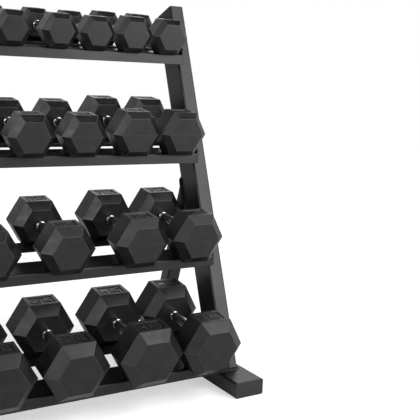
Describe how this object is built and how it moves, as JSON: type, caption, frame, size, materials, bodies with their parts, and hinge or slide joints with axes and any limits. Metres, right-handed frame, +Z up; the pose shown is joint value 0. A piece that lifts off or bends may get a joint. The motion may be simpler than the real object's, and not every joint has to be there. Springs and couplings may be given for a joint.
{
  "type": "dumbbell rack",
  "caption": "Leaning A-frame dumbbell rack with tilted open tiers of folded rails, loaded with lift-off hexagonal rubber dumbbells on chromed knurled bars.",
  "frame": {"origin": "on the floor, midway between the two side frames and midway along the feet", "axes": "+X along the tiers to the right as the user faces the rack, +Y to the back, +Z up"},
  "size_m": [0.91, 0.574, 0.9658],
  "materials": {
    "frame_coat": "satin black powder coat on steel",
    "end_plastic": "fine-grained moulded black plastic",
    "head_rubber": "smooth moulded black rubber",
    "grip_chrome": "chrome plate over a knurled steel grip"
  },
  "bodies": {
    "rack": {"foot_left": "frame_coat", "upright_left": "frame_coat", "brace_left": "frame_coat", "foot_right": "frame_coat", "upright_right": "frame_coat", "brace_right": "frame_coat", "foot_caps": "end_plastic", "upright_caps": "end_plastic", "front_rail_1": "frame_coat", "rear_rail_1": "frame_coat", "front_rail_2": "frame_coat", "rear_rail_2": "frame_coat", "front_rail_3": "frame_coat", "rear_rail_3": "frame_coat", "front_rail_4": "frame_coat", "rear_rail_4": "frame_coat", "end_plates": "frame_coat"},
    "dumbbell_1_1": {"dumbbell_1_1_heads": "head_rubber", "dumbbell_1_1_bar": "grip_chrome"},
    "dumbbell_1_2": {"dumbbell_1_2_heads": "head_rubber", "dumbbell_1_2_bar": "grip_chrome"},
    "dumbbell_1_3": {"dumbbell_1_3_heads": "head_rubber", "dumbbell_1_3_bar": "grip_chrome"},
    "dumbbell_1_4": {"dumbbell_1_4_heads": "head_rubber", "dumbbell_1_4_bar": "grip_chrome"},
    "dumbbell_1_5": {"dumbbell_1_5_heads": "head_rubber", "dumbbell_1_5_bar": "grip_chrome"},
    "dumbbell_1_6": {"dumbbell_1_6_heads": "head_rubber", "dumbbell_1_6_bar": "grip_chrome"},
    "dumbbell_2_1": {"dumbbell_2_1_heads": "head_rubber", "dumbbell_2_1_bar": "grip_chrome"},
    "dumbbell_2_2": {"dumbbell_2_2_heads": "head_rubber", "dumbbell_2_2_bar": "grip_chrome"},
    "dumbbell_2_3": {"dumbbell_2_3_heads": "head_rubber", "dumbbell_2_3_bar": "grip_chrome"},
    "dumbbell_2_4": {"dumbbell_2_4_heads": "head_rubber", "dumbbell_2_4_bar": "grip_chrome"},
    "dumbbell_2_5": {"dumbbell_2_5_heads": "head_rubber", "dumbbell_2_5_bar": "grip_chrome"},
    "dumbbell_2_6": {"dumbbell_2_6_heads": "head_rubber", "dumbbell_2_6_bar": "grip_chrome"},
    "dumbbell_3_1": {"dumbbell_3_1_heads": "head_rubber", "dumbbell_3_1_bar": "grip_chrome"},
    "dumbbell_3_2": {"dumbbell_3_2_heads": "head_rubber", "dumbbell_3_2_bar": "grip_chrome"},
    "dumbbell_3_3": {"dumbbell_3_3_heads": "head_rubber", "dumbbell_3_3_bar": "grip_chrome"},
    "dumbbell_3_4": {"dumbbell_3_4_heads": "head_rubber", "dumbbell_3_4_bar": "grip_chrome"},
    "dumbbell_4_1": {"dumbbell_4_1_heads": "head_rubber", "dumbbell_4_1_bar": "grip_chrome"},
    "dumbbell_4_2": {"dumbbell_4_2_heads": "head_rubber", "dumbbell_4_2_bar": "grip_chrome"},
    "dumbbell_4_3": {"dumbbell_4_3_heads": "head_rubber", "dumbbell_4_3_bar": "grip_chrome"},
    "dumbbell_4_4": {"dumbbell_4_4_heads": "head_rubber", "dumbbell_4_4_bar": "grip_chrome"}
  },
  "joints": [
    {"name": "dumbbell_1_1_lift", "type": "slide", "parent": "rack", "child": "dumbbell_1_1", "axis": [0, -0.9848, 0.1736], "range_m": [0, 0.36]},
    {"name": "dumbbell_1_2_lift", "type": "slide", "parent": "rack", "child": "dumbbell_1_2", "axis": [0, -0.9848, 0.1736], "range_m": [0, 0.36]},
    {"name": "dumbbell_1_3_lift", "type": "slide", "parent": "rack", "child": "dumbbell_1_3", "axis": [0, -0.9848, 0.1736], "range_m": [0, 0.36]},
    {"name": "dumbbell_1_4_lift", "type": "slide", "parent": "rack", "child": "dumbbell_1_4", "axis": [0, -0.9848, 0.1736], "range_m": [0, 0.36]},
    {"name": "dumbbell_1_5_lift", "type": "slide", "parent": "rack", "child": "dumbbell_1_5", "axis": [0, -0.9848, 0.1736], "range_m": [0, 0.36]},
    {"name": "dumbbell_1_6_lift", "type": "slide", "parent": "rack", "child": "dumbbell_1_6", "axis": [0, -0.9848, 0.1736], "range_m": [0, 0.36]},
    {"name": "dumbbell_2_1_lift", "type": "slide", "parent": "rack", "child": "dumbbell_2_1", "axis": [0, -0.9848, 0.1736], "range_m": [0, 0.36]},
    {"name": "dumbbell_2_2_lift", "type": "slide", "parent": "rack", "child": "dumbbell_2_2", "axis": [0, -0.9848, 0.1736], "range_m": [0, 0.36]},
    {"name": "dumbbell_2_3_lift", "type": "slide", "parent": "rack", "child": "dumbbell_2_3", "axis": [0, -0.9848, 0.1736], "range_m": [0, 0.36]},
    {"name": "dumbbell_2_4_lift", "type": "slide", "parent": "rack", "child": "dumbbell_2_4", "axis": [0, -0.9848, 0.1736], "range_m": [0, 0.36]},
    {"name": "dumbbell_2_5_lift", "type": "slide", "parent": "rack", "child": "dumbbell_2_5", "axis": [0, -0.9848, 0.1736], "range_m": [0, 0.36]},
    {"name": "dumbbell_2_6_lift", "type": "slide", "parent": "rack", "child": "dumbbell_2_6", "axis": [0, -0.9848, 0.1736], "range_m": [0, 0.36]},
    {"name": "dumbbell_3_1_lift", "type": "slide", "parent": "rack", "child": "dumbbell_3_1", "axis": [0, -0.9848, 0.1736], "range_m": [0, 0.36]},
    {"name": "dumbbell_3_2_lift", "type": "slide", "parent": "rack", "child": "dumbbell_3_2", "axis": [0, -0.9848, 0.1736], "range_m": [0, 0.36]},
    {"name": "dumbbell_3_3_lift", "type": "slide", "parent": "rack", "child": "dumbbell_3_3", "axis": [0, -0.9848, 0.1736], "range_m": [0, 0.36]},
    {"name": "dumbbell_3_4_lift", "type": "slide", "parent": "rack", "child": "dumbbell_3_4", "axis": [0, -0.9848, 0.1736], "range_m": [0, 0.36]},
    {"name": "dumbbell_4_1_lift", "type": "slide", "parent": "rack", "child": "dumbbell_4_1", "axis": [0, -0.9848, 0.1736], "range_m": [0, 0.36]},
    {"name": "dumbbell_4_2_lift", "type": "slide", "parent": "rack", "child": "dumbbell_4_2", "axis": [0, -0.9848, 0.1736], "range_m": [0, 0.36]},
    {"name": "dumbbell_4_3_lift", "type": "slide", "parent": "rack", "child": "dumbbell_4_3", "axis": [0, -0.9848, 0.1736], "range_m": [0, 0.36]},
    {"name": "dumbbell_4_4_lift", "type": "slide", "parent": "rack", "child": "dumbbell_4_4", "axis": [0, -0.9848, 0.1736], "range_m": [0, 0.36]}
  ]
}
